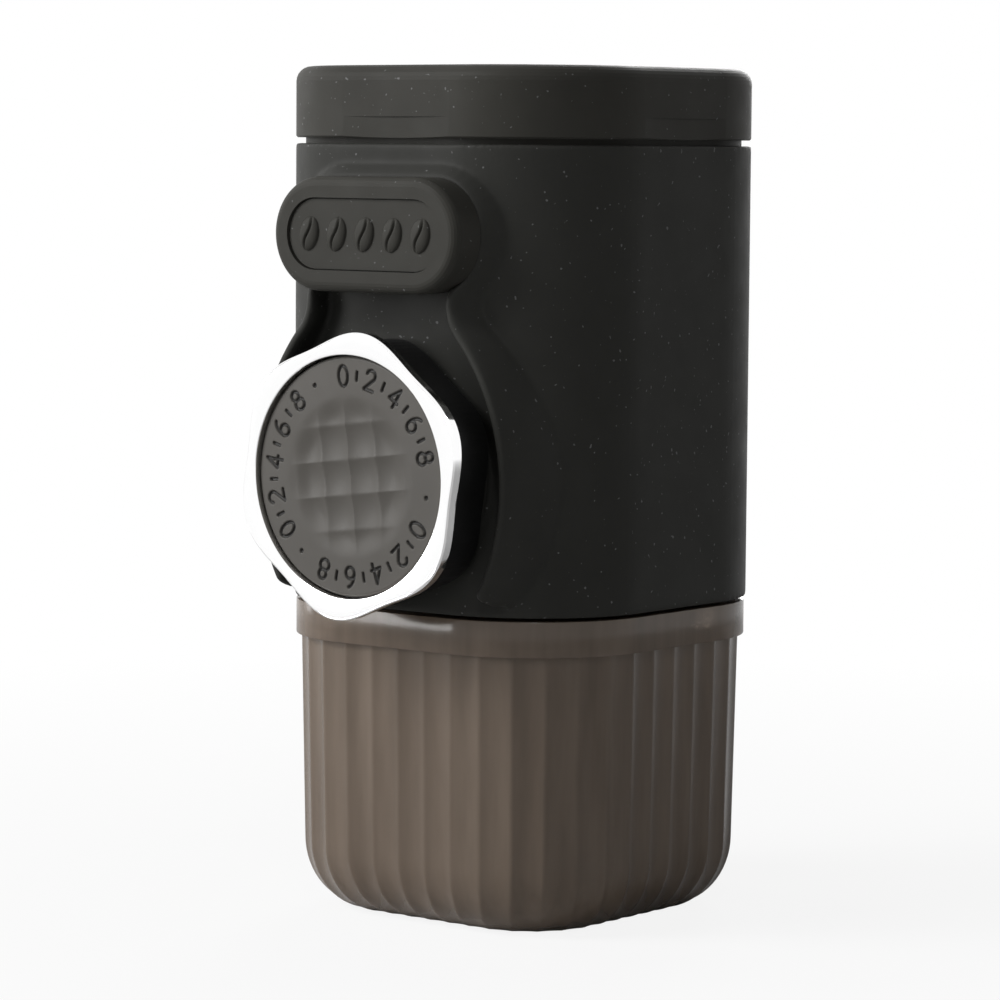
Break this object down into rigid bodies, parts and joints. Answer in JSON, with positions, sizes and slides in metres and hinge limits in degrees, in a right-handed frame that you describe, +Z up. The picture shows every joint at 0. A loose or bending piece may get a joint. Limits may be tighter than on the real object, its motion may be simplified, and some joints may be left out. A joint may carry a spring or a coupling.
{
  "type": "handheld manual espresso maker",
  "caption": "Pocket espresso maker with a side pump knob, a fluted smoky water tank that twists off below and a drinking cup nested in its top.",
  "frame": {"origin": "middle of the tank's flat base, under the upright axis of the housing", "axes": "+Z up, -Y the front, where the pump knob is, +X to the right seen from behind the front"},
  "size_m": [0.07, 0.0822, 0.1474],
  "materials": {
    "housing_black": "soft-touch matte",
    "pad_grey": "fine matte",
    "cup_black": "soft-touch matte",
    "smoky_plastic": "translucent smoky moulded plastic",
    "black_rubber": "matte",
    "silicone": "matte",
    "inner_plastic": "satin",
    "barrel_plastic": "satin",
    "portafilter_black": "satin",
    "knob_black": "satin",
    "dial_grey": "satin metallic grey",
    "steel": "brushed",
    "chrome": "polished"
  },
  "bodies": {
    "housing": {"body_shell": "housing_black", "front_pad": "pad_grey", "pad_inset": "pad_grey", "tank_seal": "black_rubber", "chassis": "inner_plastic", "case_screws": "steel", "pump_barrel": "barrel_plastic", "rod_guide": "barrel_plastic", "end_cap": "inner_plastic", "end_cap_seal": "black_rubber", "inlet_manifold": "inner_plastic", "inlet_valve": "silicone", "air_valve": "silicone", "outlet_manifold": "inner_plastic", "outlet_valve": "silicone", "group_head": "inner_plastic", "shower_screen": "steel", "group_gasket": "silicone", "return_spring": "steel"},
    "cup": {"cup": "cup_black", "cup_band": "black_rubber"},
    "tank": {"water_tank": "smoky_plastic"},
    "portafilter": {"portafilter": "portafilter_black", "spout": "portafilter_black", "filter_basket": "steel"},
    "plunger": {"plunger_rod": "steel", "piston": "barrel_plastic", "piston_seals": "black_rubber", "knob_screw": "steel"},
    "knob": {"knob_body": "knob_black", "chrome_ring": "chrome", "dial_plate": "dial_grey"}
  },
  "joints": [
    {"name": "cup_lift", "type": "slide", "parent": "housing", "child": "cup", "axis": [0, 0, 1], "range_m": [0, 0.045]},
    {"name": "tank_twist", "type": "hinge", "parent": "housing", "child": "tank", "pos_m": [0, 0, 0], "axis": [0, 0, 1], "range_deg": [0, 45]},
    {"name": "portafilter_twist", "type": "hinge", "parent": "housing", "child": "portafilter", "pos_m": [0, 0, 0.11], "axis": [0, 0, 1], "range_deg": [0, 45]},
    {"name": "plunger_stroke", "type": "slide", "parent": "housing", "child": "plunger", "axis": [0, -1, 0], "range_m": [0, 0.018], "deforming": ["return_spring"]},
    {"name": "knob_twist", "type": "hinge", "parent": "plunger", "child": "knob", "pos_m": [0, -0.04, 0.0785], "axis": [0, -1, 0], "range_deg": [0, 45]}
  ]
}
